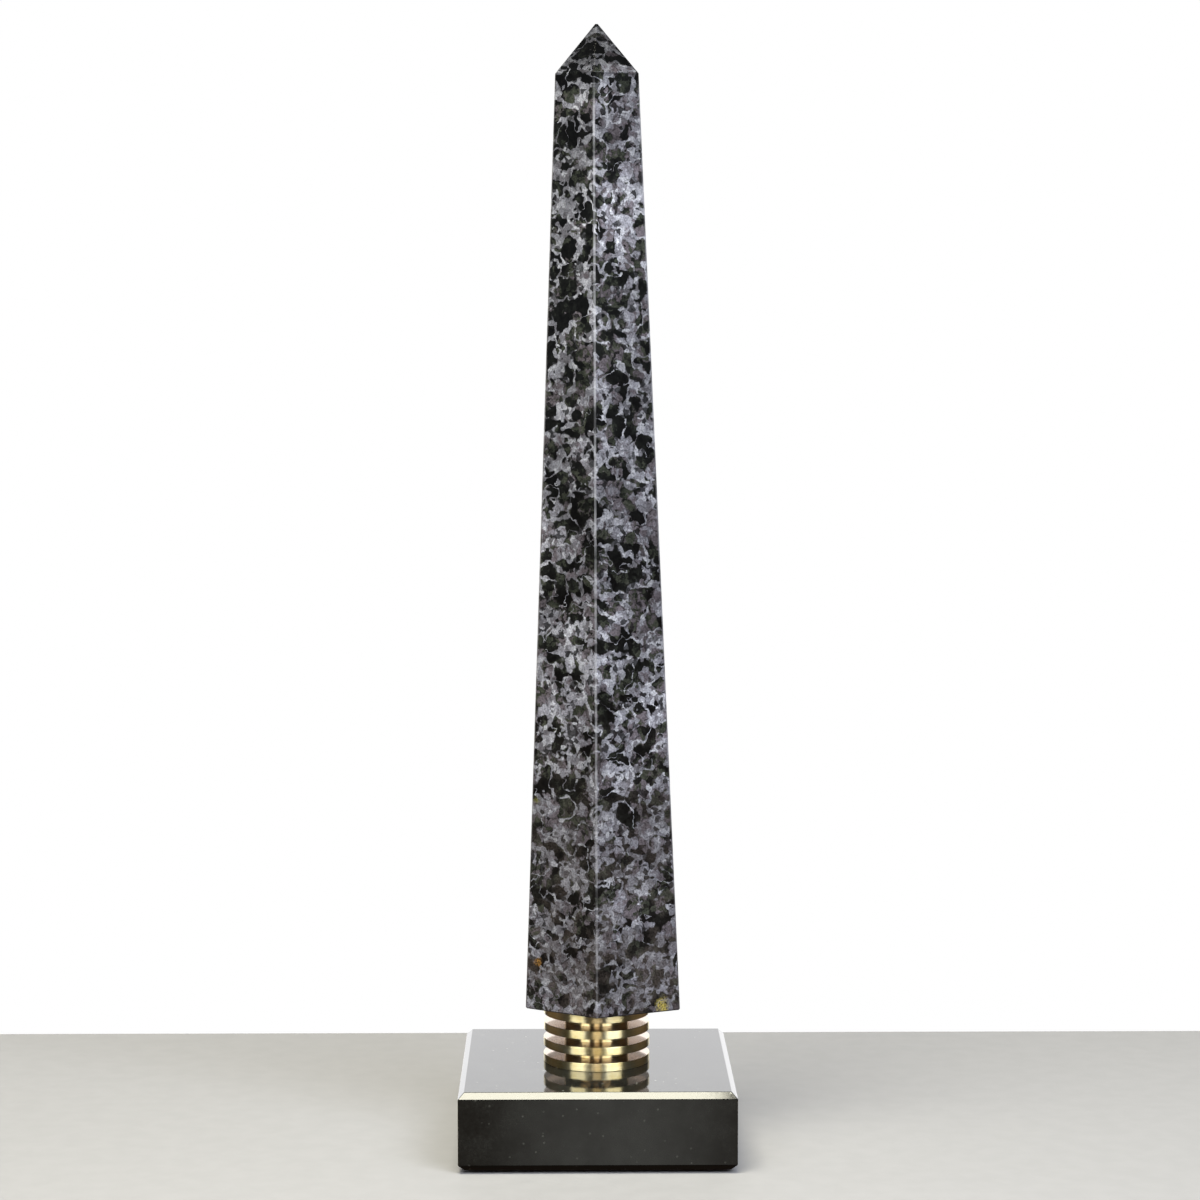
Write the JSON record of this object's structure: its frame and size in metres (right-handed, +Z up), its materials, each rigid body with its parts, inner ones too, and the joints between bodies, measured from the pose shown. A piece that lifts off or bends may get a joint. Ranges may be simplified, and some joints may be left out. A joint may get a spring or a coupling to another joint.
{
  "type": "desk obelisk ornament",
  "caption": "Small six-sided polished stone obelisk with a pointed tip, held over a square chamfered black stone plinth by a collar of stacked brass discs.",
  "frame": {"origin": "under the centre of the plinth, on the plane of the table, where the felt pads rest", "axes": "+Z up along the obelisk; -Y is the front, where one upright edge of the obelisk faces; +X to the right seen from the front"},
  "size_m": [0.1, 0.1, 0.4106],
  "materials": {
    "gabbro": "polished, mottled black and grey-lavender",
    "brass": "turned and polished",
    "black_granite": "polished, near black with fine specks",
    "zinc_steel": "bright zinc plate",
    "cork": "pressed cork grains",
    "felt": "pressed felt"
  },
  "bodies": {
    "root": {"obelisk": "gabbro", "cork_washer": "cork", "collar_disc_1": "brass", "collar_disc_2": "brass", "collar_disc_3": "brass", "collar_disc_4": "brass", "collar_spacer_1": "brass", "collar_spacer_2": "brass", "collar_spacer_3": "brass", "plinth": "black_granite", "threaded_rod": "zinc_steel", "steel_washer": "zinc_steel", "hex_nut": "zinc_steel", "felt_pad_front_left": "felt", "felt_pad_front_right": "felt", "felt_pad_back_left": "felt", "felt_pad_back_right": "felt"}
  },
  "joints": []
}
